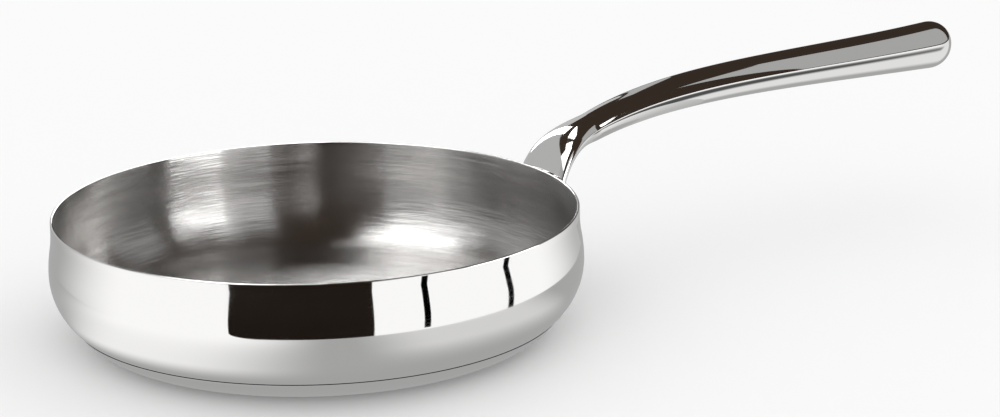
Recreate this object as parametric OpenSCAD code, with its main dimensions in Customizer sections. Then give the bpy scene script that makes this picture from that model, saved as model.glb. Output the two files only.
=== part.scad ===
/* [Vessel] */
// Outside diameter of the rim
rim_d = 200; // [160:1:280]
// Height of the rim above the table
rim_h = 48.5; // [42:0.5:75]
// Thickness of the drawn steel of the side and floor
wall = 1; // [0.8:0.1:1.6]
// Height of the straight band under the rim that a lid's skirt drops into
rim_band = 3.5; // [2:0.5:8]
// How far the side swells out beyond the rim on its way down
swell = 1.5; // [0.6:0.1:3]
// Outside radius of the turn from the side towards the base
corner_r = 25; // [18:0.5:31]
// Height at which that turn would touch down if it ran on under the cap
corner_lift = 3.1; // [2:0.1:5]

/* [Base] */
// Thickness of the aluminium disc between floor and cap
spreader_t = 4.8; // [3:0.2:7]
// How far the disc stops short of the seam
spreader_inset = 4; // [3.5:0.5:10]
// Thickness of the steel cap under the disc
cap_t = 0.8; // [0.5:0.1:1.2]
// Height of the seam, where the cap's lip meets the vessel
seam_h = 9.6; // [7.6:0.1:12]
// Radius of the cap's curve from its lip down to the flat that the pan stands on
cap_curve_r = 22; // [13:0.5:34]
// Open line between the cap's lip and the vessel
seam_gap = 0.15; // [0.05:0.05:0.3]

/* [Handle line] */
// Reach of the handle's tip beyond the rim
tip_reach = 215; // [160:1:260]
// Height of the tip's middle above the rim
tip_rise = 21; // [8:1:50]
// Slope of the handle at its tip, in degrees
tip_slope = 1; // [-6:1:12]
// How long the handle keeps the tip's slope
tip_pull = 77; // [50:1:95]
// Reach of the joint between root and grip beyond the rim
joint_reach = 28; // [24:0.5:36]
// Height of that joint above the rim
joint_rise = 12; // [10:0.5:20]
// Slope of the handle at that joint, in degrees
joint_slope = 18; // [10:1:30]
// How long the grip keeps the joint's slope
grip_pull = 45; // [30:1:60]
// How long the root keeps the joint's slope
root_pull = 7.5; // [4:0.5:10]
// How far the foot reaches down the side, below the rim
foot_drop = 28; // [22:1:30]
// Distance of the foot's middle line from the rim's outside
foot_reach = 1.5; // [1:0.1:2.5]
// How long the foot keeps upright before it bends over
foot_pull = 39; // [34:1:46]

/* [Handle sections] */
// Width of the foot at its toe
toe_w = 26.5; // [20:0.5:32]
// Width that the foot flares towards at the rim
flare_w = 37; // [30:0.5:44]
// Width at the joint between root and grip
joint_w = 14.5; // [12:0.5:18]
// Width that the grip keeps behind the joint
waist_w = 15.5; // [12:0.5:20]
// Width that the grip grows towards in the palm
palm_w = 18.5; // [14:0.5:26]
// Width at the tip
tip_w = 18; // [14:0.5:26]
// Depth of the foot at its toe
toe_t = 5.4; // [4:0.2:7]
// Depth of the foot as it leaves the side
flare_t = 4.4; // [4:0.2:9]
// Depth at the joint between root and grip
joint_t = 11.5; // [10:0.5:15]
// Depth that the grip keeps behind the joint
waist_t = 15.5; // [12:0.5:18]
// Depth that the grip grows towards in the palm
palm_t = 14; // [11:0.5:20]
// Depth at the tip
tip_t = 21; // [14:0.5:26]
// Length of the rounded end of the grip
tip_round = 11.5; // [7:0.5:16]
// Length of the rounded toe of the foot
toe_round = 9; // [5:0.5:12]
// How square the root's section is, as the power of its outline: 2 is an ellipse
root_power = 2.8; // [2:0.1:4]

/* [Handle joints] */
// Thickness of the grip's two pressed shells
shell_t = 1.2; // [0.8:0.1:2]
// Length of the spigot that the root pushes into the hollow grip
spigot_l = 12; // [6:1:20]
// Clearance round the spigot
spigot_gap = 0.2; // [0.1:0.05:0.4]
// Gap between the foot and the side, which the weld spots fill
weld_gap = 0.25; // [0.1:0.05:0.4]
// Diameter of a weld spot
weld_d = 5; // [3:0.5:7]
// Distance of the lowest weld spot above the toe
weld_low = 6; // [4:0.5:8]
// Height of the two upper weld spots above the lowest
weld_rise = 8; // [6:0.5:10]
// Distance between the two upper weld spots
weld_pitch = 16; // [10:1:20]

/* [Hidden] */
$fn = 180;

steel = "#c9ccd0";
polished = "#dfe2e5";
aluminium = "#aab0b6";

// Steps along an arc of the profile, degrees between points of the rim's edge,
// and sides and stations of the handle
arc_steps = 12;
edge_step = 15;
sides = 28;
root_steps = 26;
spigot_steps = 4;
grip_steps = 26;
dome_steps = 6;
whole_turn = [for (i = [0 : sides - 1]) 360 * i / sides];
upper_turn = [for (i = [0 : sides / 2]) 360 * i / sides];
lower_turn = [for (i = [sides / 2 : sides]) 360 * i / sides];

// Where the toe's rounding is cut blunt, as a share of its length, and the size of the spigot's end
toe_blunt_share = 0.96;
spigot_lead_share = 0.85;

// How fast the foot's bend round the side dies away towards the joint
hug_power = 1.5;

rim_r = rim_d / 2;
band_z = rim_h - rim_band;
belly_r = rim_r + swell;
belly_h = corner_lift + corner_r;
floor_z = cap_t + spreader_t;

// The side leaves the band and meets the belly on two equal arcs, end to end
swell_h = band_z - belly_h;
swell_r = (pow(swell_h / 2, 2) + pow(swell / 2, 2)) / swell;
swell_a = asin(swell_h / 2 / swell_r);

// The corner turns as far as the seam, then a tighter turn lays it on the disc
corner_x = belly_r - corner_r;
seam_a = asin((belly_h - seam_h) / corner_r);
seam_r = corner_x + corner_r * cos(seam_a);
turn_r = (seam_h - floor_z) / (1 - sin(seam_a));
turn_x = seam_r - turn_r * cos(seam_a);
turn_z = floor_z + turn_r;

// The cap's curve leaves the flat without a kink and ends at the seam
cap_turn_a = acos((cap_curve_r - seam_h) / cap_curve_r);
flat_r = seam_r - cap_curve_r * sin(cap_turn_a);

// The root's width and depth run into the grip's without a kink at the joint
bend_share = root_pull / grip_pull;
bend_w = joint_w - bend_share * (waist_w - joint_w);
bend_t = joint_t - bend_share * (waist_t - joint_t);

// The handle's line in its own plane: each station is [reach, rise, width, depth]
joint = [joint_reach, joint_rise, joint_w, joint_t];
tip = [tip_reach, tip_rise, tip_w, tip_t];
root_line = [
    [foot_reach, -foot_drop, toe_w, toe_t],
    [foot_reach, foot_pull - foot_drop, flare_w, flare_t],
    [joint_reach - root_pull * cos(joint_slope), joint_rise - root_pull * sin(joint_slope), bend_w, bend_t],
    joint
];
grip_line = [
    joint,
    [joint_reach + grip_pull * cos(joint_slope), joint_rise + grip_pull * sin(joint_slope), waist_w, waist_t],
    [tip_reach - tip_pull * cos(tip_slope), tip_rise - tip_pull * sin(tip_slope), palm_w, palm_t],
    tip
];

// A length along the line, as a share of it, near its start and its end
toe_share = toe_round / (3 * foot_pull);
spigot_share = spigot_l / (3 * grip_pull);
dome_share = tip_round / (3 * tip_pull);
shell_share = shell_t / (3 * tip_pull);

// Points of an arc after its first one, so that arcs can follow each other
function arc(x, z, r, from, to) = [
    for (i = [1 : arc_steps]) let (a = from + (to - from) * i / arc_steps) [x + r * cos(a), z + r * sin(a)]
];

// The vessel's surface from under the rim's edge to the middle of the floor, at a depth into the steel
function side_line(depth) = concat(
    [[rim_r - depth, rim_h - wall / 2], [rim_r - depth, band_z]],
    arc(rim_r + swell_r, band_z, swell_r + depth, 180, 180 + swell_a),
    arc(belly_r - swell_r, belly_h, swell_r - depth, swell_a, 0),
    arc(corner_x, belly_h, corner_r - depth, 0, -seam_a),
    arc(turn_x, turn_z, turn_r - depth, -seam_a, -90),
    [[0, floor_z + depth]]
);

// The cap's surface from its lip to the middle of its underside, at a depth into the steel
function cap_line(depth) = let (r = cap_curve_r - depth) concat(
    [[flat_r + r * sin(cap_turn_a), cap_curve_r - r * cos(cap_turn_a)]],
    arc(flat_r, cap_curve_r, r, cap_turn_a - 90, -90),
    [[0, depth]]
);

// The half section of all that lies within such a line
function within(line) = concat([[0, line[0][1]]], line);

function reversed(list) = [for (i = [len(list) - 1 : -1 : 0]) list[i]];

// The rim's edge is ground to a full round, here from the inside to just short of the outside
module vessel() {
    edge_r = wall / 2;
    edge = [for (a = [180 - edge_step : -edge_step : edge_step]) edge_r * [cos(a), sin(a)]];
    color(polished)
        rotate_extrude()
            polygon(concat(
                reversed(side_line(wall)),
                [for (p = edge) [rim_r - edge_r, rim_h - edge_r] + p],
                side_line(0)
            ));
}

module heat_spreader() {
    color(aluminium)
        rotate_extrude()
            intersection() {
                square([seam_r - spreader_inset, seam_h]);
                difference() {
                    polygon(within(cap_line(cap_t)));
                    polygon(within(side_line(0)));
                }
            }
}

module base_cap() {
    color(steel)
        rotate_extrude()
            difference() {
                polygon(within(cap_line(0)));
                polygon(within(cap_line(cap_t)));
                polygon(within(side_line(-seam_gap)));
            }
}

// Outside radius of the vessel's side at a height
function side_r(z) =
    z > band_z ? rim_r
    : z > band_z - swell_h / 2 ? rim_r + swell_r - sqrt(pow(swell_r, 2) - pow(band_z - z, 2))
    : z > belly_h ? belly_r - swell_r + sqrt(pow(swell_r, 2) - pow(z - belly_h, 2))
    : corner_x + sqrt(pow(corner_r, 2) - pow(belly_h - z, 2));

// A smooth line through its first and last station, drawn by the two between
function along(line, t) =
    line[0] * pow(1 - t, 3) + line[1] * 3 * t * pow(1 - t, 2)
    + line[2] * 3 * pow(t, 2) * (1 - t) + line[3] * pow(t, 3);

function heading(line, t) = let (
    v = (line[1] - line[0]) * pow(1 - t, 2)
        + (line[2] - line[1]) * 2 * t * (1 - t)
        + (line[3] - line[2]) * pow(t, 2)
) [v[0], v[1]] / norm([v[0], v[1]]);

function signed_pow(x, e) = sign(x) * pow(abs(x), e);

// Points of a section square to the line, at the given angles: its width lies across the handle
// and its depth in the handle's plane, and a power of 2 is an ellipse
function section(line, t, w, d, power, angles) = let (
    c = along(line, t),
    h = heading(line, t)
) [
    for (a = angles) let (
        across = w / 2 * signed_pow(cos(a), 2 / power),
        up = d / 2 * signed_pow(sin(a), 2 / power)
    ) [rim_r + c[0] - h[1] * up, across, rim_h + c[1] + h[0] * up]
];

// The foot is bent round the side, and what would lie in the steel is laid on its outside
function hugged(points, bend) = [
    for (p = points) let (
        x = p[0] - bend * (rim_r - sqrt(pow(rim_r, 2) - pow(p[1], 2))),
        seat = sqrt(pow(side_r(p[2]) + weld_gap, 2) - pow(p[1], 2))
    ) [p[2] < rim_h ? max(x, seat) : x, p[1], p[2]]
];

// The toe is drawn in to a blunt end, and the root turns from square to oval on its way to the grip
function root_section(t) = let (
    s = along(root_line, t),
    toe = sqrt(1 - pow(max(toe_blunt_share - t / toe_share, 0), 2)),
    power = 2 + (root_power - 2) * (1 - t)
) hugged(section(root_line, t, s[2] * toe, s[3] * toe, power, whole_turn), pow(1 - t, hug_power));

function spigot_section(t, size) = let (
    s = along(grip_line, t),
    less = 2 * (shell_t + spigot_gap)
) section(grip_line, t, (s[2] - less) * size, (s[3] - less) * size, 2, whole_turn);

// Triangles between closed rings of n points that follow each other
function skin(rings, n) = [
    for (i = [0 : rings - 2], j = [0 : n - 1]) let (
        a = i * n + j,
        b = i * n + (j + 1) % n
    ) each [[a, b + n, b], [a, a + n, b + n]]
];

module handle_root() {
    rings = concat(
        [for (i = [0 : root_steps]) root_section(i / root_steps)],
        [for (i = [0 : spigot_steps - 1]) spigot_section(spigot_share * i / spigot_steps, 1)],
        [spigot_section(spigot_share, spigot_lead_share)]
    );
    last = (len(rings) - 1) * sides;
    color(polished)
        polyhedron(
            [for (r = rings) each r],
            concat(
                skin(len(rings), sides),
                [for (j = [1 : sides - 2]) [0, j, j + 1]],
                [for (j = [1 : sides - 2]) [last, last + j + 1, last + j]]
            )
        );
}

// Stations of the grip as [share of its line, size of its section]: the body, then the round end
function grip_stations(round_share) = concat(
    [for (i = [0 : grip_steps]) [(1 - dome_share) * i / grip_steps, 1]],
    [
        for (i = [1 : dome_steps - 1]) let (a = 90 * i / dome_steps)
            [1 - dome_share + round_share * sin(a), cos(a)]
    ]
);

function shell_section(station, less, angles) = let (s = along(grip_line, station[0]))
    section(grip_line, station[0], (s[2] - less) * station[1], (s[3] - less) * station[1], 2, angles);

function line_point(t) = let (c = along(grip_line, t)) [rim_r + c[0], 0, rim_h + c[1]];

// One pressed half of the hollow grip. Each ring runs along the outside and back along the inside,
// and the last one closes on the two points where the outside and the inside meet the line
module grip_shell(angles) {
    outside = grip_stations(dome_share);
    inside = grip_stations(dome_share - shell_share);
    half = len(angles);
    n = 2 * half;
    count = len(outside);
    last = (count - 1) * n;
    outer_tip = count * n;
    inner_tip = outer_tip + 1;
    polyhedron(
        concat(
            [for (i = [0 : count - 1]) each concat(
                shell_section(outside[i], 0, angles),
                reversed(shell_section(inside[i], 2 * shell_t, angles))
            )],
            [line_point(1), line_point(1 - shell_share)]
        ),
        concat(
            skin(count, n),
            [for (j = [0 : half - 2]) each [[j, j + 1, n - 2 - j], [j, n - 2 - j, n - 1 - j]]],
            [for (j = [0 : n - 1]) [last + j, j < half ? outer_tip : inner_tip, last + (j + 1) % n]],
            [[last + half, outer_tip, inner_tip], [last, inner_tip, outer_tip]]
        )
    );
}

module grip_upper_shell() {
    color(polished) grip_shell(upper_turn);
}

module grip_lower_shell() {
    color(polished) grip_shell(lower_turn);
}

module foot_welds() {
    low_z = rim_h - foot_drop + weld_low;
    spots = [[0, low_z], [-weld_pitch / 2, low_z + weld_rise], [weld_pitch / 2, low_z + weld_rise]];
    color(steel)
        intersection() {
            rotate_extrude()
                difference() {
                    polygon(within(side_line(-weld_gap)));
                    polygon(within(side_line(0)));
                }
            for (s = spots)
                translate([rim_r / 2, s[0], s[1]])
                    rotate([0, 90, 0])
                        cylinder(d = weld_d, h = rim_r);
        }
}

vessel();
heat_spreader();
base_cap();
handle_root();
grip_upper_shell();
grip_lower_shell();
foot_welds();
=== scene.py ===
import bmesh
import bpy
import math
from mathutils import Matrix, Vector
from mathutils.kdtree import KDTree


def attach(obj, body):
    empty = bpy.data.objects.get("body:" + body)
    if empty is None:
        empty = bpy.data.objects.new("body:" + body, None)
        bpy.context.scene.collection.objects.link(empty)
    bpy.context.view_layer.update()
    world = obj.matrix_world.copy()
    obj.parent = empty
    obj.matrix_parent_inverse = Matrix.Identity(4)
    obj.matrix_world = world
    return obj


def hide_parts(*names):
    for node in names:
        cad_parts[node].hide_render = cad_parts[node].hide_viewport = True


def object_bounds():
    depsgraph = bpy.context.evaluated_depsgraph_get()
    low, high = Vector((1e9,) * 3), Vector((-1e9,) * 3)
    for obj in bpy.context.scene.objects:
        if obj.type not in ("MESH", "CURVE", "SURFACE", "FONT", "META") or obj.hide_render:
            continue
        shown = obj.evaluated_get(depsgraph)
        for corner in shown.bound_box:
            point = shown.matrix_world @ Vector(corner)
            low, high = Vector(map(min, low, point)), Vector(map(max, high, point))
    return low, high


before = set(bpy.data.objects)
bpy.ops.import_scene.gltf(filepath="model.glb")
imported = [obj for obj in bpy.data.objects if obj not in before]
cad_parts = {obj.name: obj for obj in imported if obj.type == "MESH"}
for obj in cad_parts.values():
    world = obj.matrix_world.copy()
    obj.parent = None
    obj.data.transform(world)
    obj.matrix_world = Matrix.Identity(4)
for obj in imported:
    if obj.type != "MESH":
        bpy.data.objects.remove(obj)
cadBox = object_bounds()
scene = bpy.context.scene
mm = 0.001
hair = 0.01 * mm        # places nearer than this count as the same
print("frame loaded")


# Drawing with a pen in the plane of the profile: x is the reach from the axis, z the height, in mm

def penDown(bm, reach, rise):
    return bm.verts.new((reach * mm, 0, rise * mm))


def penLine(bm, pen, reach, rise):
    tip = bmesh.ops.extrude_vert_indiv(bm, verts=[pen])["verts"][0]
    tip.co = (reach * mm, 0, rise * mm)
    return tip


def penArc(bm, pen, reach, rise, degrees, steps):
    # turns the pen round a centre, anticlockwise with the axis on the left
    made = bmesh.ops.spin(bm, geom=[pen], cent=(reach * mm, 0, rise * mm), axis=(0, -1, 0),
                          angle=math.radians(degrees), steps=steps, use_merge=False)
    return [g for g in made["geom_last"] if isinstance(g, bmesh.types.BMVert)][0]


def turnOnLathe(bm, steps):
    bmesh.ops.spin(bm, geom=bm.verts[:] + bm.edges[:], cent=(0, 0, 0), axis=(0, 0, 1),
                   angle=math.tau, steps=steps, use_merge=True)
    bmesh.ops.remove_doubles(bm, verts=bm.verts[:], dist=hair / 100)
    bmesh.ops.recalc_face_normals(bm, faces=bm.faces[:])


def markSharp(bm, degrees):
    for edge in bm.edges:
        if len(edge.link_faces) == 2:
            edge.smooth = edge.calc_face_angle(0) < math.radians(degrees)


def halveTo(isPast, low, high, rounds=30):
    # closes in on the last place from low to high that isn't past the one looked for
    for step in range(rounds):
        middle = (low + high) / 2
        if isPast(middle):
            high = middle
        else:
            low = middle
    return low


def placeMesh(bm, name, materials):
    mesh = bpy.data.meshes.new(name)
    bm.to_mesh(mesh)
    bm.free()
    for material in materials:
        mesh.materials.append(material)
    placed = bpy.data.objects.new(name, mesh)
    scene.collection.objects.link(placed)
    return placed


def makePiece(bm, name, materials, slot, *nodes):
    piece = placeMesh(bm, name, materials)
    for face in piece.data.polygons:
        face.use_smooth = True
    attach(piece, "root")
    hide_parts(*nodes)
    print("made", name, len(piece.data.polygons), "faces")
    return piece


# Materials

polish = {
    "colour": (0.87, 0.865, 0.855, 1),
    "roughness": 0.03,
    "haze": 0.05,               # how much duller the dull patches are
    "hazeSize": 30.0,           # patches to the metre
    "hazeDetail": 5.0,
    "hazeSpan": (0.4, 0.8),     # the part of the noise that the haze is spread over
    "waveSize": 22.0,           # waves of the drawn sheet to the metre
    "waveDepth": 0.03,          # mm
    "buffLines": 900.0,         # buffing lines to the metre
    "buffDepth": 0.0006,        # mm
    "buffSpan": (0.75, 1.25),   # how far the lines vary the roughness
    "buffStretch": 0.04,        # of the lines along the handle
}

satin = {
    "colour": (0.73, 0.72, 0.71, 1),
    "streakColour": (0.62, 0.61, 0.60, 1),
    "roughness": 0.22,
    "anisotropic": 1.0,
    "anisotropicTurn": 0.25,    # a quarter turn, so the shine runs across the grooves
    "grooves": 8000.0,          # grooves to the metre of the profile
    "groovesRound": 6.0,        # how much they change round the pan
    "sideTilt": 1.4,            # how far the grooves lean the shading on the side
    "floorTilt": 0.8,           # and on the floor
    "tiltSpan": (0.2, 0.9),     # where the side's tilt goes over into the floor's, as the rise of the normal
    "streaks": 420.0,           # broader than the grooves, and give the satin its light and dark rings
    "streaksRound": 2.5,
    "streakDetail": 3.0,
    "streakRoughness": 0.03,
}

spreaderLook = {
    "colour": (0.78, 0.79, 0.80, 1),
    "roughness": 0.4,
    "roughnessSwing": 0.08,
    "grooves": 900.0,           # to the metre
    "grooveDepth": 0.01,        # mm
}

weldLook = {
    "colour": (0.62, 0.60, 0.57, 1),
    "tint": (0.52, 0.40, 0.24, 1),
    "tintSize": 400.0,          # patches to the metre
    "roughness": 0.3,
    "rippleRoughness": 0.2,
    "ripples": 1600.0,          # to the metre
    "rippleDepth": 0.1,         # mm
}


def addNode(tree, kind, inputs=None, **settings):
    # an input is a value, or another node's output to link to
    node = tree.nodes.new("ShaderNode" + kind)
    for name, value in settings.items():
        setattr(node, name, value)
    for name, value in (inputs or {}).items():
        if isinstance(value, bpy.types.NodeSocket):
            tree.links.new(value, node.inputs[name])
        else:
            node.inputs[name].default_value = value
    return node


def mathOf(tree, operation, first, second):
    return addNode(tree, "Math", {0: first, 1: second}, operation=operation).outputs[0]


def vectorOf(tree, operation, *inputs):
    node = addNode(tree, "VectorMath", dict(enumerate(inputs)), operation=operation)
    return node.outputs["Value" if operation in ("LENGTH", "DOT_PRODUCT") else "Vector"]


def scaled(tree, vector, scale):
    return addNode(tree, "VectorMath", {0: vector, "Scale": scale}, operation="SCALE").outputs[0]


def heightOf(tree, vector):
    return addNode(tree, "SeparateXYZ", {0: vector}).outputs["Z"]


def objectPlace(tree):
    return addNode(tree, "TexCoord").outputs["Object"]


def flatPlace(tree, place=None):
    return vectorOf(tree, "MULTIPLY", place or objectPlace(tree), (1, 1, 0))


def roundTheAxis(tree, scale, roundScale=1.2):
    # a place that changes slowly round the pan and fast along its profile, so a pattern runs in rings
    place = objectPlace(tree)
    flat = flatPlace(tree, place)
    way = mathOf(tree, "ADD", vectorOf(tree, "LENGTH", flat), heightOf(tree, place))
    rings = addNode(tree, "CombineXYZ", {"Z": mathOf(tree, "MULTIPLY", way, scale)}).outputs[0]
    slow = scaled(tree, vectorOf(tree, "NORMALIZE", flat), roundScale)
    return vectorOf(tree, "ADD", rings, slow)


def noiseAt(tree, place, scale, detail=2.0):
    return addNode(tree, "TexNoise", {"Vector": place, "Scale": scale, "Detail": detail}).outputs["Fac"]


def spreadOver(tree, value, low, high, fromLow=0.3, fromHigh=0.7):
    # noise lies mostly between 0.3 and 0.7
    return addNode(tree, "MapRange", {"Value": value, "From Min": fromLow, "From Max": fromHigh,
                                      "To Min": low, "To Max": high}).outputs["Result"]


def softStep(tree, value, fromLow, fromHigh, low, high):
    return addNode(tree, "MapRange", {"Value": value, "From Min": fromLow, "From Max": fromHigh,
                                      "To Min": low, "To Max": high},
                   interpolation_type="SMOOTHSTEP").outputs["Result"]


def mixColours(tree, share, first, second):
    return addNode(tree, "Mix", {0: share, 6: first, 7: second}, data_type="RGBA").outputs[2]


def bumpFrom(tree, height, depth, under=None):
    inputs = {"Height": height, "Strength": 1.0, "Distance": depth * mm}
    if under:
        inputs["Normal"] = under
    return addNode(tree, "Bump", inputs).outputs["Normal"]


def newMetal(name, look):
    # also gives back feed, which links a node to an input of the shader
    material = bpy.data.materials.new(name)
    material.use_nodes = True
    material.diffuse_color = look["colour"]
    tree = material.node_tree
    shader = tree.nodes["Principled BSDF"]
    shader.inputs["Metallic"].default_value = 1.0
    shader.inputs["Base Color"].default_value = look["colour"]
    shader.inputs["Roughness"].default_value = look["roughness"]

    def feed(value, socket):
        tree.links.new(value, shader.inputs[socket])

    return material, tree, feed


def polishedSteel(name, look, turned):
    # turned: buffed on the lathe, so the fine lines run round the axis
    material, tree, feed = newMetal(name, look)
    place = objectPlace(tree)
    if turned:
        lines = noiseAt(tree, roundTheAxis(tree, look["buffLines"]), 1.0)
    else:
        along = vectorOf(tree, "MULTIPLY", place, (look["buffStretch"], 1, 1))
        lines = noiseAt(tree, along, look["buffLines"])
    haze = noiseAt(tree, place, look["hazeSize"], look["hazeDetail"])
    dull = spreadOver(tree, haze, look["roughness"], look["roughness"] + look["haze"], *look["hazeSpan"])
    feed(mathOf(tree, "MULTIPLY", dull, spreadOver(tree, lines, *look["buffSpan"])), "Roughness")
    waves = bumpFrom(tree, noiseAt(tree, place, look["waveSize"], 1.0), look["waveDepth"])
    feed(bumpFrom(tree, lines, look["buffDepth"], waves), "Normal")
    return material


def combed(tree, grooves, look):
    # leans the shading across the grooves only, so the blur has no part along them
    place = addNode(tree, "TexCoord").outputs
    square = place["Normal"]
    along = vectorOf(tree, "NORMALIZE", vectorOf(tree, "CROSS_PRODUCT", (0, 0, 1), place["Object"]))
    across = vectorOf(tree, "CROSS_PRODUCT", square, along)
    tilt = spreadOver(tree, heightOf(tree, square), look["sideTilt"], look["floorTilt"], *look["tiltSpan"])
    lean = mathOf(tree, "MULTIPLY", mathOf(tree, "SUBTRACT", grooves, 0.5), tilt)
    return vectorOf(tree, "NORMALIZE", vectorOf(tree, "ADD", square, scaled(tree, across, lean)))


def satinSteel(name, look):
    # brushed in rings: the shine runs across the grooves, and so does the blur
    material, tree, feed = newMetal(name, look)
    shader = tree.nodes["Principled BSDF"]
    shader.inputs["Anisotropic"].default_value = look["anisotropic"]
    shader.inputs["Anisotropic Rotation"].default_value = look["anisotropicTurn"]
    feed(addNode(tree, "Tangent", direction_type="RADIAL", axis="Z").outputs["Tangent"], "Tangent")
    grooves = noiseAt(tree, roundTheAxis(tree, look["grooves"], look["groovesRound"]), 1.0, 1.0)
    rings = roundTheAxis(tree, look["streaks"], look["streaksRound"])
    streaks = noiseAt(tree, rings, 1.0, look["streakDetail"])
    share = spreadOver(tree, streaks, 0, 1)
    feed(mixColours(tree, share, look["streakColour"], look["colour"]), "Base Color")
    rough = spreadOver(tree, streaks, look["roughness"] + look["streakRoughness"], look["roughness"])
    feed(rough, "Roughness")
    feed(combed(tree, grooves, look), "Normal")
    return material


def turnedAluminium(name, look):
    material, tree, feed = newMetal(name, look)
    grooves = noiseAt(tree, roundTheAxis(tree, look["grooves"]), 1.0)
    low, high = look["roughness"] - look["roughnessSwing"], look["roughness"] + look["roughnessSwing"]
    feed(spreadOver(tree, grooves, low, high), "Roughness")
    feed(bumpFrom(tree, grooves, look["grooveDepth"]), "Normal")
    return material


def weldSteel(name, look):
    # straw tint of the heat in patches, and the ripples of the bead
    material, tree, feed = newMetal(name, look)
    place = objectPlace(tree)
    tint = spreadOver(tree, noiseAt(tree, place, look["tintSize"]), 0, 1)
    feed(mixColours(tree, tint, look["colour"], look["tint"]), "Base Color")
    ripples = noiseAt(tree, place, look["ripples"])
    rough = spreadOver(tree, ripples, look["roughness"], look["roughness"] + look["rippleRoughness"])
    feed(rough, "Roughness")
    feed(bumpFrom(tree, ripples, look["rippleDepth"]), "Normal")
    return material


outsidePolish = polishedSteel("outsidePolish", polish, True)
handlePolish = polishedSteel("handlePolish", polish, False)
capPolish = polishedSteel("capPolish", polish, True)
insideSatin = satinSteel("insideSatin", satin)
undersideSatin = satinSteel("undersideSatin", satin)
spreaderAluminium = turnedAluminium("spreaderAluminium", spreaderLook)
weldBeadSteel = weldSteel("weldBeadSteel", weldLook)
print("materials made")


# Vessel: side and floor in one, with a full round rim; sizes in mm

vessel = {
    "rimWidth": 200.0,
    "rimHeight": 48.5,
    "wall": 1.0,
    "rimBand": 3.5,         # height of the straight band under the rim
    "swell": 1.5,           # how far the side swells out beyond the rim
    "cornerRadius": 25.0,
    "cornerLift": 3.1,
    "floorHeight": 5.6,     # of the floor's underside
    "seamHeight": 9.6,
    "turnSteps": 288,
    "arcSteps": 20,
    "rimSteps": 12,
    "floorRise": 0.7,       # a face whose normal rises more than this is part of the floor
}

rimRadius = vessel["rimWidth"] / 2
rimHeight = vessel["rimHeight"]
wall = vessel["wall"]
bandHeight = rimHeight - vessel["rimBand"]
bellyRadius = rimRadius + vessel["swell"]
bellyHeight = vessel["cornerLift"] + vessel["cornerRadius"]
swellHeight = bandHeight - bellyHeight
swellRadius = ((swellHeight / 2) ** 2 + (vessel["swell"] / 2) ** 2) / vessel["swell"]
swellTurn = math.degrees(math.asin(swellHeight / 2 / swellRadius))
cornerReach = bellyRadius - vessel["cornerRadius"]
seamTurn = math.degrees(math.asin((bellyHeight - vessel["seamHeight"]) / vessel["cornerRadius"]))
seamReach = cornerReach + vessel["cornerRadius"] * math.cos(math.radians(seamTurn))
turnRadius = (vessel["seamHeight"] - vessel["floorHeight"]) / (1 - math.sin(math.radians(seamTurn)))
turnReach = seamReach - turnRadius * math.cos(math.radians(seamTurn))
turnHeight = vessel["floorHeight"] + turnRadius


def sideRadius(height):
    # outside radius of the side at a height
    if height > bandHeight:
        return rimRadius
    if height > bandHeight - swellHeight / 2:
        return rimRadius + swellRadius - math.sqrt(swellRadius ** 2 - (bandHeight - height) ** 2)
    if height > bellyHeight:
        return bellyRadius - swellRadius + math.sqrt(swellRadius ** 2 - (height - bellyHeight) ** 2)
    return cornerReach + math.sqrt(vessel["cornerRadius"] ** 2 - (bellyHeight - height) ** 2)


bm = bmesh.new()
steps = vessel["arcSteps"]
edgeRadius = wall / 2
pen = penDown(bm, 0, vessel["floorHeight"] + wall)
pen = penLine(bm, pen, turnReach, vessel["floorHeight"] + wall)
pen = penArc(bm, pen, turnReach, turnHeight, 90 - seamTurn, steps)
pen = penArc(bm, pen, cornerReach, bellyHeight, seamTurn, steps)
pen = penArc(bm, pen, bellyRadius - swellRadius, bellyHeight, swellTurn, steps)
pen = penArc(bm, pen, rimRadius + swellRadius, bandHeight, -swellTurn, steps)
pen = penLine(bm, pen, rimRadius - wall, rimHeight - edgeRadius)
pen = penArc(bm, pen, rimRadius - edgeRadius, rimHeight - edgeRadius, -180, vessel["rimSteps"])
pen = penLine(bm, pen, rimRadius, bandHeight)
pen = penArc(bm, pen, rimRadius + swellRadius, bandHeight, swellTurn, steps)
pen = penArc(bm, pen, bellyRadius - swellRadius, bellyHeight, -swellTurn, steps)
pen = penArc(bm, pen, cornerReach, bellyHeight, -seamTurn, steps)
pen = penArc(bm, pen, turnReach, turnHeight, seamTurn - 90, steps)
penLine(bm, pen, 0, vessel["floorHeight"])
turnOnLathe(bm, vessel["turnSteps"])
for face in bm.faces:
    centre = face.calc_center_median()
    outward = face.normal.x * centre.x + face.normal.y * centre.y
    onFloor = face.normal.z > vessel["floorRise"] and centre.z < bellyHeight * mm
    inside = outward < 0 or onFloor
    face.material_index = 1 if inside and centre.z < (rimHeight - edgeRadius) * mm else 0
makePiece(bm, "vesselBody", [outsidePolish, insideSatin], "vessel_steel", "vessel")


# Cap: the dish under the disc, whose lip makes the seam; sizes in mm

cap = {
    "thickness": 0.8,
    "curveRadius": 22.0,
    "gap": 0.15,            # of the seam
    "lipBevel": 0.25,
    "turnSteps": 288,
    "arcSteps": 24,
    "lipSteps": 6,
    "bevelSteps": 2,
    "lipAngle": 40,         # edges of the lip that turn more than this are bevelled
    "sharpAngle": 30,
}

capTurn = math.degrees(math.acos((cap["curveRadius"] - vessel["seamHeight"]) / cap["curveRadius"]))
flatReach = seamReach - cap["curveRadius"] * math.sin(math.radians(capTurn))


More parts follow.
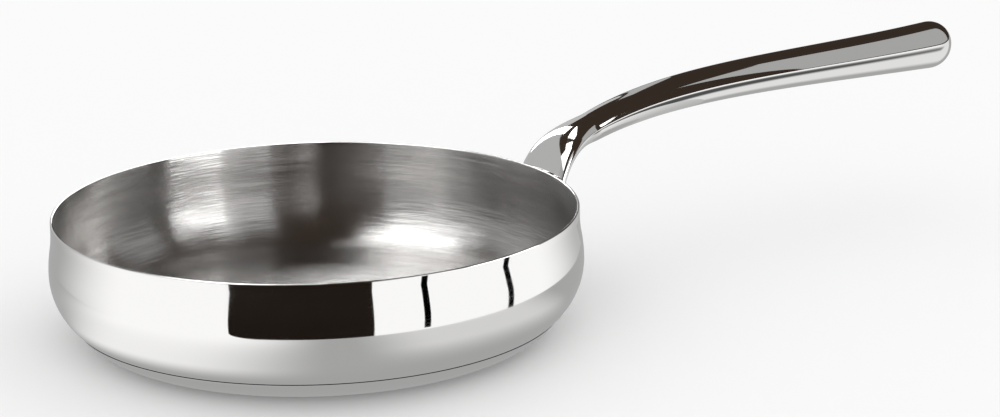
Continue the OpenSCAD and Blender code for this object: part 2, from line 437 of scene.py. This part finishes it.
def lipTurn(radius):
    # how far the cap's curve climbs until it meets the seam's gap, and where on the vessel's turn that is
    def fromTurn(degrees):
        x = flatReach + radius * math.sin(math.radians(degrees)) - turnReach
        z = cap["curveRadius"] - radius * math.cos(math.radians(degrees)) - turnHeight
        return x, z

    closest = turnRadius + cap["gap"]
    climb = halveTo(lambda degrees: math.hypot(*fromTurn(degrees)) <= closest, 0.0, capTurn)
    x, z = fromTurn(climb)
    return climb, math.degrees(math.atan2(z, x))


outerTurn, outerEnd = lipTurn(cap["curveRadius"])
innerTurn, innerEnd = lipTurn(cap["curveRadius"] - cap["thickness"])
bm = bmesh.new()
pen = penDown(bm, 0, 0)
pen = penLine(bm, pen, flatReach, 0)
pen = penArc(bm, pen, flatReach, cap["curveRadius"], outerTurn, cap["arcSteps"])
pen = penArc(bm, pen, turnReach, turnHeight, innerEnd - outerEnd, cap["lipSteps"])
pen = penArc(bm, pen, flatReach, cap["curveRadius"], -innerTurn, cap["arcSteps"])
penLine(bm, pen, 0, cap["thickness"])
turnOnLathe(bm, cap["turnSteps"])
# the lip stands well above the dish's floor
lip = [edge for edge in bm.edges if edge.verts[0].co.z > cap["thickness"] * 2 * mm
       and edge.calc_face_angle(0) > math.radians(cap["lipAngle"])]
bmesh.ops.bevel(bm, geom=lip, offset=cap["lipBevel"] * mm, segments=cap["bevelSteps"], affect="EDGES",
                profile=0.5, material=-1)
for face in bm.faces:
    face.material_index = 1 if face.calc_center_median().z < hair else 0
markSharp(bm, cap["sharpAngle"])
makePiece(bm, "capDish", [capPolish, undersideSatin], "cap_steel", "base_cap")


# Handle: a line of stations in mm, each with its reach beyond the rim, rise above it, width and depth.
# A pull is how far a curve holds on to the slope at its end.

handle = {
    "foot": (1.5, -28.0, 26.5, 5.4),
    "flare": (1.5, 11.0, 37.0, 4.4),
    "joint": (28.0, 12.0, 14.5, 11.5),
    "jointSlope": 18.0,
    "bendPull": 7.5,
    "waistPull": 45.0,
    "waist": (15.5, 15.5),      # width and depth
    "tip": (215.0, 21.0, 18.0, 21.0),
    "tipSlope": 1.0,
    "palmPull": 77.0,
    "palm": (18.5, 14.0),
    "toeRound": 9.0,
    "toeStart": 0.995,          # just under 1, so that the first ring is open and can be closed with a face
    "tipRound": 11.5,
    "squareness": 2.8,          # the foot's section; 2 is an ellipse
    "hugFade": 1.5,             # how soon the foot's hold on the round of the side fades
    "footGap": 0.25,
    "shell": 1.2,
    "spigot": 12.0,
    "spigotGap": 0.2,
    "spigotRings": ((0.01, 1.0), (0.5, 1.0), (0.9, 1.0), (1.0, 0.85)),     # share of its length, size
    "sides": 96,
    "rootRings": 70,
    "gripRings": 90,
    "endRings": 16,
    "edgeCosine": 0.5,          # a face turned further off than this isn't shaded as part of the skin
}


def pulled(station, slope, pull, size):
    a = math.radians(slope)
    return (station[0] + pull * math.cos(a), station[1] + pull * math.sin(a)) + size


bendShare = handle["bendPull"] / handle["waistPull"]
bend = tuple(here - bendShare * (there - here) for here, there in zip(handle["joint"][2:], handle["waist"]))
rootLine = [Vector(s) for s in (
    handle["foot"], handle["flare"],
    pulled(handle["joint"], handle["jointSlope"], -handle["bendPull"], bend), handle["joint"])]
gripLine = [Vector(s) for s in (
    handle["joint"], pulled(handle["joint"], handle["jointSlope"], handle["waistPull"], handle["waist"]),
    pulled(handle["tip"], handle["tipSlope"], -handle["palmPull"], handle["palm"]), handle["tip"])]

# Shares of their curves that the round ends and the spigot take up
toeShare = handle["toeRound"] / (3 * (handle["flare"][1] - handle["foot"][1]))
tipShare = handle["tipRound"] / (3 * handle["palmPull"])
spigotShare = handle["spigot"] / (3 * handle["waistPull"])


def stationAt(line, t):
    s = 1 - t
    return line[0] * s ** 3 + line[1] * 3 * t * s * s + line[2] * 3 * t * t * s + line[3] * t ** 3


def headingAt(line, t):
    s = 1 - t
    v = (line[1] - line[0]) * s * s + (line[2] - line[1]) * 2 * t * s + (line[3] - line[2]) * t * t
    return Vector((v[0], v[1])).normalized()


def signedPower(x, power):
    return math.copysign(abs(x) ** power, x)


def addRing(bm, line, t, less=0.0, size=1.0, power=2.0, hug=0.0):
    # a circle pressed to the station's section, set square to the line and bent round the side by hug
    station, along = stationAt(line, t), headingAt(line, t)
    ring = bmesh.ops.create_circle(bm, segments=handle["sides"], radius=1.0, cap_ends=False)["verts"]
    for vert in ring:
        across = (station[2] - less) * size / 2 * signedPower(vert.co.x, 2 / power)
        up = (station[3] - less) * size / 2 * signedPower(vert.co.y, 2 / power)
        x = rimRadius + station[0] - along[1] * up
        z = rimHeight + station[1] + along[0] * up
        x -= hug * (rimRadius - math.sqrt(rimRadius ** 2 - across ** 2))
        if hug and z < rimHeight:
            x = max(x, math.sqrt((sideRadius(z) + handle["footGap"]) ** 2 - across ** 2))
        vert.co = (x * mm, across * mm, min(z * mm, cadBox[1][2]))
    return ring


def ringEdges(ring):
    return list({edge for vert in ring for edge in vert.link_edges if edge.other_vert(vert) in set(ring)})


def loft(bm, rings):
    edges = [ringEdges(ring) for ring in rings]
    for first, second in zip(edges, edges[1:]):
        bmesh.ops.bridge_loops(bm, edges=first + second)


def closeRing(bm, ring):
    bmesh.ops.contextual_create(bm, geom=ringEdges(ring))


def rootRing(bm, t):
    toe = math.sqrt(1 - max(handle["toeStart"] - t / toeShare, 0) ** 2)
    fade = (1 - t) ** handle["hugFade"]
    return addRing(bm, rootLine, t, 0, toe, 2 + (handle["squareness"] - 2) * fade, fade)


def rootRings(bm):
    ends, rings = handle["endRings"], handle["rootRings"]
    shares = [toeShare * (1 - math.cos(math.pi / 2 * i / ends)) for i in range(ends)]
    shares += [toeShare + (1 - toeShare) * i / rings for i in range(rings + 1)]
    return [rootRing(bm, t) for t in shares]


def gripRings(bm):
    ends, rings = handle["endRings"], handle["gripRings"]
    made = [addRing(bm, gripLine, (1 - tipShare) * i / rings) for i in range(rings + 1)]
    for i in range(1, ends):
        a = math.pi / 2 * i / ends
        made.append(addRing(bm, gripLine, 1 - tipShare + tipShare * math.sin(a), 0, math.cos(a)))
    return made


def closeTip(bm, ring):
    # draws the last ring together on the line's end
    tip = bmesh.ops.extrude_edge_only(bm, edges=ringEdges(ring))["geom"]
    points = [g for g in tip if isinstance(g, bmesh.types.BMVert)]
    end = stationAt(gripLine, 1)
    place = ((rimRadius + end[0]) * mm, 0, (rimHeight + end[1]) * mm)
    bmesh.ops.pointmerge(bm, verts=points, merge_co=place)


# The whole outside in one, only to take its shading from
bm = bmesh.new()
rings = rootRings(bm) + gripRings(bm)[1:]
loft(bm, rings)
closeTip(bm, rings[-1])
closeRing(bm, rings[0])
bmesh.ops.recalc_face_normals(bm, faces=bm.faces[:])
bm.normal_update()
wholeSkin = KDTree(len(bm.verts))
wholeNormals = [vert.normal.copy() for vert in bm.verts]
for i, vert in enumerate(bm.verts):
    if vert.link_faces:
        wholeSkin.insert(vert.co, i)
wholeSkin.balance()
bm.free()


def shadeAsOne(piece):
    # the joints are ground flush, so the shading runs on over them; a normal of nought keeps Blender's own
    mesh = piece.data
    own = Vector((0, 0, 0))
    normals = []
    for loop in mesh.loops:
        place, index, distance = wholeSkin.find(mesh.vertices[loop.vertex_index].co)
        normals.append(wholeNormals[index] if distance < hair else own)
    for face in mesh.polygons:
        for i in face.loop_indices:
            if normals[i].dot(face.normal) < handle["edgeCosine"]:
                normals[i] = own
    mesh.normals_split_custom_set(normals)


bm = bmesh.new()
rings = rootRings(bm)
less = 2 * (handle["shell"] + handle["spigotGap"])
for share, size in handle["spigotRings"]:
    rings.append(addRing(bm, gripLine, spigotShare * share, less, size))
loft(bm, rings)
closeRing(bm, rings[0])
closeRing(bm, rings[-1])
bmesh.ops.recalc_face_normals(bm, faces=bm.faces[:])
shadeAsOne(makePiece(bm, "handleRoot", [handlePolish], "handle_steel", "handle_root"))


def aboveLine(place):
    # how far a place lies above the middle line of the grip
    t = halveTo(lambda t: rimRadius + stationAt(gripLine, t)[0] >= place.x, 0.0, 1.0)
    station, heading = stationAt(gripLine, t), headingAt(gripLine, t)
    return (place.z - rimHeight - station[1]) * heading[0] - (place.x - rimRadius - station[0]) * heading[1]


def makeShell(name, node, side):
    # side: 1 keeps the upper half of the grip, -1 the lower one
    bm = bmesh.new()
    rings = gripRings(bm)
    loft(bm, rings)
    closeTip(bm, rings[-1])
    bmesh.ops.recalc_face_normals(bm, faces=bm.faces[:])
    waste = [face for face in bm.faces if aboveLine(face.calc_center_median() / mm) * side < 0]
    bmesh.ops.delete(bm, geom=waste, context="FACES")
    bmesh.ops.solidify(bm, geom=bm.faces[:], thickness=handle["shell"] * mm)
    bmesh.ops.recalc_face_normals(bm, faces=bm.faces[:])
    shadeAsOne(makePiece(bm, name, [handlePolish], "handle_steel", node))


makeShell("gripUpperShell", "grip_upper_shell", 1)
makeShell("gripLowerShell", "grip_lower_shell", -1)

# The two hidden pieces keep their CAD meshes
for node, material in (("heat_spreader", spreaderAluminium), ("foot_welds", weldBeadSteel)):
    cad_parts[node].data.materials.clear()
    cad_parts[node].data.materials.append(material)


# Stage: floor, light and camera

stage = {
    "floorSize": 30.0,          # m
    "floorColour": (0.86, 0.86, 0.86, 1),
    "floorRoughness": 0.8,
    "skyStrength": 1.12,
    "frontBearing": -120.0,     # the camera's; the bearings below count from it, to the right
    "roomReach": 8.0,           # m
    "roomColour": (0.038, 0.027, 0.020, 1),         # what the polish sees where nothing else stands
    "gapColour": (0.0133, 0.0092, 0.0065, 1),       # of the gap in the sweep, in front of the camera
    "panelSteps": (8, 12),      # of a panel's height and width
    "bendSteps": 2,             # degrees of bearing between the folds of a card
    "cornerSteps": 10,
    "tableSteps": 96,
}
white = (1, 1, 1, 1)
sweepLight = 1.08

# Panels of light far round the pan: from and to bearing, from and to elevation, reach in m, brightness
skyPanels = {
    "leftNear": (-60, -32, 0, 40, 5.0, 0.33),
    "leftMid": (-90, -60, 0, 40, 5.0, 0.42),
    "leftFar": (-150, -90, 0, 40, 5.0, 0.48),
    "leftHigh": (-105, -45, 40, 55, 5.0, 1.65),
    "topLeft": (-120, -50, 55, 78, 5.0, 3.4),
    "topBack": (-166, -135, 55, 78, 5.0, 2.9),
    "backLeft": (-179, -150, 0, 36, 5.0, 0.55),
}

# Cards standing near the pan: from and to bearing, from and to height in mm, reach in m, brightness, corner
cards = {
    "rimBright": (52.3, 84, 61, 110, 0.2, 5.4, 0),
    "rimCurtain": (25, 52.3, 61, 110, 0.2, 1.3, 0),
    "rimLeft": (-74.5, -40, 61, 90, 0.2, 0.8, 0),
    "rightBox": (47.7, 73, 75, 220, 0.36, 2.2, 0),
    "rightBoxTop": (47.7, 60, 220, 520, 0.36, 1.0, 0),
    "rightCurtain": (22.8, 47.7, 75, 520, 0.36, 0.5, 0),
    "rightBack": (88, 117, 80, 480, 0.49, 0.42, 0),
    "behindLine": (149, 156, 90, 330, 0.3, 0.45, 0),
    "behindBox": (179, 194, 100, 330, 0.3, 5.0, 0),
    "sweepLeft": (-132, -60, 0, 60, 0.2, sweepLight, 0),
    "sweepFront": (-60, 84, 0, 60, 0.2, sweepLight, 0),
    "sweepRight": (84, 132, 0, 38, 0.2, sweepLight, 0),
    "cameraGap": (-28.2, 16.6, 0, 61, 0.199, 1.0, 9),
    "postNear": (32.7, 34.9, 3, 61, 0.199, 0.0, 0),
    "postFar": (65.4, 68.0, 0, 61, 0.199, 0.0, 0),
}

# Where the sweep's ends grow dim, as cosines of the bearing, and the brightness they come down to
sweepFades = {"sweepLeft": (-0.5, 0.4, 0.42), "sweepRight": (-0.6, 0.15, 0.5)}


def onStage(bm, name, strength, colour=white):
    # seen only in the polish, so it neither shades the floor nor shows itself;
    # strength is a value, or a function that draws it in the panel's tree
    material = bpy.data.materials.new(name)
    material.use_nodes = True
    tree = material.node_tree
    tree.nodes.remove(tree.nodes["Principled BSDF"])
    light = strength(tree) if callable(strength) else strength
    glow = addNode(tree, "Emission", {"Color": colour, "Strength": light})
    tree.links.new(glow.outputs[0], tree.nodes["Material Output"].inputs["Surface"])
    panel = placeMesh(bm, name, [material])
    for sight in ("camera", "diffuse", "shadow", "transmission", "volume_scatter"):
        setattr(panel, "visible_" + sight, False)


def towards(bearing):
    turn = math.radians(stage["frontBearing"] + bearing)
    return Vector((math.cos(turn), math.sin(turn), 0))


def sweepRound(bm, left, right, steps):
    # sweeps a standing line of points from one bearing to the other
    turn = Matrix.Rotation(math.radians(stage["frontBearing"] + left), 3, "Z")
    bmesh.ops.rotate(bm, verts=bm.verts[:], cent=(0, 0, 0), matrix=turn)
    bmesh.ops.spin(bm, geom=bm.verts[:] + bm.edges[:], cent=(0, 0, 0), axis=(0, 0, 1),
                   angle=math.radians(right - left), steps=steps, use_merge=False)


def facing(tree, flat, bearing):
    # how far a place lies towards a bearing, as the cosine of the angle between them
    return vectorOf(tree, "DOT_PRODUCT", vectorOf(tree, "NORMALIZE", flat), towards(bearing))


def sweepFade(name):
    return lambda tree: softStep(tree, facing(tree, flatPlace(tree), 0), *sweepFades[name], sweepLight)


for name, (left, right, low, high, reach, strength) in skyPanels.items():
    bm = bmesh.new()
    pen = penDown(bm, reach / mm * math.cos(math.radians(low)), reach / mm * math.sin(math.radians(low)))
    penArc(bm, pen, 0, 0, high - low, stage["panelSteps"][0])
    sweepRound(bm, left, right, stage["panelSteps"][1])
    onStage(bm, name, strength)

for name, (left, right, low, high, reach, strength, corner) in cards.items():
    # cut flat, with the bearing as its width, and then bent round the pan
    bm = bmesh.new()
    bmesh.ops.create_grid(bm, x_segments=1, y_segments=1, size=0.5)
    for vert in bm.verts:
        vert.co = (left + (right - left) * (vert.co.x + 0.5), low + (high - low) * (vert.co.y + 0.5), 0)
    if corner:
        lowLeft = min(bm.verts, key=lambda vert: vert.co.x + vert.co.y)
        bmesh.ops.bevel(bm, geom=[lowLeft], offset=corner, segments=stage["cornerSteps"], affect="VERTICES",
                        profile=0.5, material=-1)
    for fold in range(math.ceil(left), math.floor(right), stage["bendSteps"]):
        bmesh.ops.bisect_plane(bm, geom=bm.verts[:] + bm.edges[:] + bm.faces[:], plane_co=(fold, 0, 0),
                               plane_no=(1, 0, 0))
    for vert in bm.verts:
        vert.co = towards(vert.co.x) * reach + Vector((0, 0, vert.co.y * mm))
    onStage(bm, name, sweepFade(name) if name in sweepFades else strength,
            stage["gapColour"] if name == "cameraGap" else white)

bm = bmesh.new()
bmesh.ops.create_icosphere(bm, subdivisions=3, radius=stage["roomReach"])
onStage(bm, "darkRoom", 1.0, stage["roomColour"])

# The table as the polish sees it, a glowing card with painted light and shade: painted shade under the pan,
# running up into the sweep on the left.
# A zone has a bearing, the cosines between which it comes up, the reaches in m likewise, and its strength.
table = {
    "innerEdge": 70.0,                  # mm
    "outerEdge": 6000.0,                # mm
    "lift": 0.05,                       # mm
    # painted shade: the card is darker under the pan, where the pan shades the floor
    "under": 0.40,                      # brightness under the pan
    "open": 0.42,                       # and beyond it
    "underEdge": (0.088, 0.108),        # m
    "left": (-60, 0.45, 1.0, 0.09, 0.105, 0.55),
    "leftEnd": (-20, 0.2, 0.8),
    "right": (50, 0.75, 0.97, 0.098, 0.13, 0.30),
    # painted shade: a dark patch on the card beyond the sweep, mirrored in the handle's root
    "root": (85, 0.94, 0.98, 0.199, 0.202, 0.9),
    "rootEnd": (0.4, 0.9),              # m
    "sweep": (-60, 0.45, 1.0, 0.1, 0.19, 1),
    "handleBearing": 30,
    "handleEdge": (-0.01, 0.025),       # m
    "handleReach": (0.19, 0.22),        # m
    "handleLight": 0.42,
}


def tableLight(tree):
    flat = flatPlace(tree)
    reach = vectorOf(tree, "LENGTH", flat)

    def times(first, second):
        return mathOf(tree, "MULTIPLY", first, second)

    def plus(first, second):
        return mathOf(tree, "ADD", first, second)

    def rest(share):
        return mathOf(tree, "SUBTRACT", 1.0, share)

    def upAt(bearing, low, high):
        return softStep(tree, facing(tree, flat, bearing), low, high, 0, 1)

    def zone(bearing, low, high, near, far, strength):
        return times(upAt(bearing, low, high), softStep(tree, reach, near, far, 0, strength))

    light = softStep(tree, reach, *table["underEdge"], table["under"], table["open"])
    # painted light: brighter zones on the card to the right and to the left
    light = plus(light, zone(*table["right"]))
    light = plus(light, times(zone(*table["left"]), upAt(*table["leftEnd"])))
    # painted light: a brighter zone on the card under the handle, whose side edge is straight
    aside = vectorOf(tree, "DOT_PRODUCT", flat, towards(table["handleBearing"]))
    light = plus(light, times(softStep(tree, aside, *table["handleEdge"], 0, 1),
                              softStep(tree, reach, *table["handleReach"], 0, table["handleLight"])))
    # painted shade, darkening the card at the root's bearing
    paintedRootShade = times(zone(*table["root"]), softStep(tree, reach, *table["rootEnd"], 1, 0))
    light = times(light, rest(paintedRootShade))
    # on the left the table runs on into the sweep without an edge
    intoSweep = zone(*table["sweep"])
    return plus(times(light, rest(intoSweep)), times(sweepFade("sweepLeft")(tree), intoSweep))


bm = bmesh.new()
pen = penDown(bm, table["innerEdge"], table["lift"])
penLine(bm, pen, table["outerEdge"], table["lift"])
sweepRound(bm, 0, 360, stage["tableSteps"])
onStage(bm, "tableMirrored", tableLight)

floorPaint = bpy.data.materials.new("floorPaint")
floorPaint.use_nodes = True
paint = floorPaint.node_tree.nodes["Principled BSDF"].inputs
paint["Base Color"].default_value = stage["floorColour"]
paint["Roughness"].default_value = stage["floorRoughness"]
paint["Specular IOR Level"].default_value = 0.0
bm = bmesh.new()
bmesh.ops.create_grid(bm, x_segments=1, y_segments=1, size=stage["floorSize"] / 2)
floor = placeMesh(bm, "floor", [floorPaint])
floor.visible_glossy = False

world = bpy.data.worlds.new("studio")
scene.world = world
world.use_nodes = True
world.node_tree.nodes["Background"].inputs["Color"].default_value = white
world.node_tree.nodes["Background"].inputs["Strength"].default_value = stage["skyStrength"]
world.cycles_visibility.glossy = False
print("stage set")

# Lens and sensor in mm, distance from the rim's middle in m, angles in degrees
camera = {
    "lens": 115.2,
    "sensor": 36.0,
    "distance": 1.2144,
    "elevation": 15.54,
    "azimuth": -30.0,
    "yaw": 3.42,
    "pitch": -0.10,
    "roll": -1.02,
    "nearest": 0.01,
    "farthest": 100,
}


def setCamera():
    e, a = math.radians(camera["elevation"]), math.radians(-camera["azimuth"])
    back = Vector((-math.cos(e) * math.sin(a), -math.cos(e) * math.cos(a), math.sin(e)))
    place = Vector((0, 0, rimHeight * mm)) + back * camera["distance"]
    turn = a + math.radians(camera["yaw"])
    heading = Vector((math.sin(turn), math.cos(turn), 0))
    tilt = math.radians(camera["pitch"] - camera["elevation"])
    forward = heading * math.cos(tilt) + Vector((0, 0, math.sin(tilt)))
    right = Vector((heading.y, -heading.x, 0))
    up = right.cross(forward)
    roll = math.radians(camera["roll"])
    right, up = right * math.cos(roll) + up * math.sin(roll), up * math.cos(roll) - right * math.sin(roll)
    data = bpy.data.cameras.new("photoCamera")
    data.lens = camera["lens"]
    data.sensor_width = camera["sensor"]
    data.clip_start = camera["nearest"]
    data.clip_end = camera["farthest"]
    view = bpy.data.objects.new("photoCamera", data)
    scene.collection.objects.link(view)
    turned = Matrix((right, up, -forward)).transposed().to_4x4()
    view.matrix_world = Matrix.Translation(place) @ turned
    scene.camera = view


setCamera()
scene.view_settings.view_transform = "Standard"
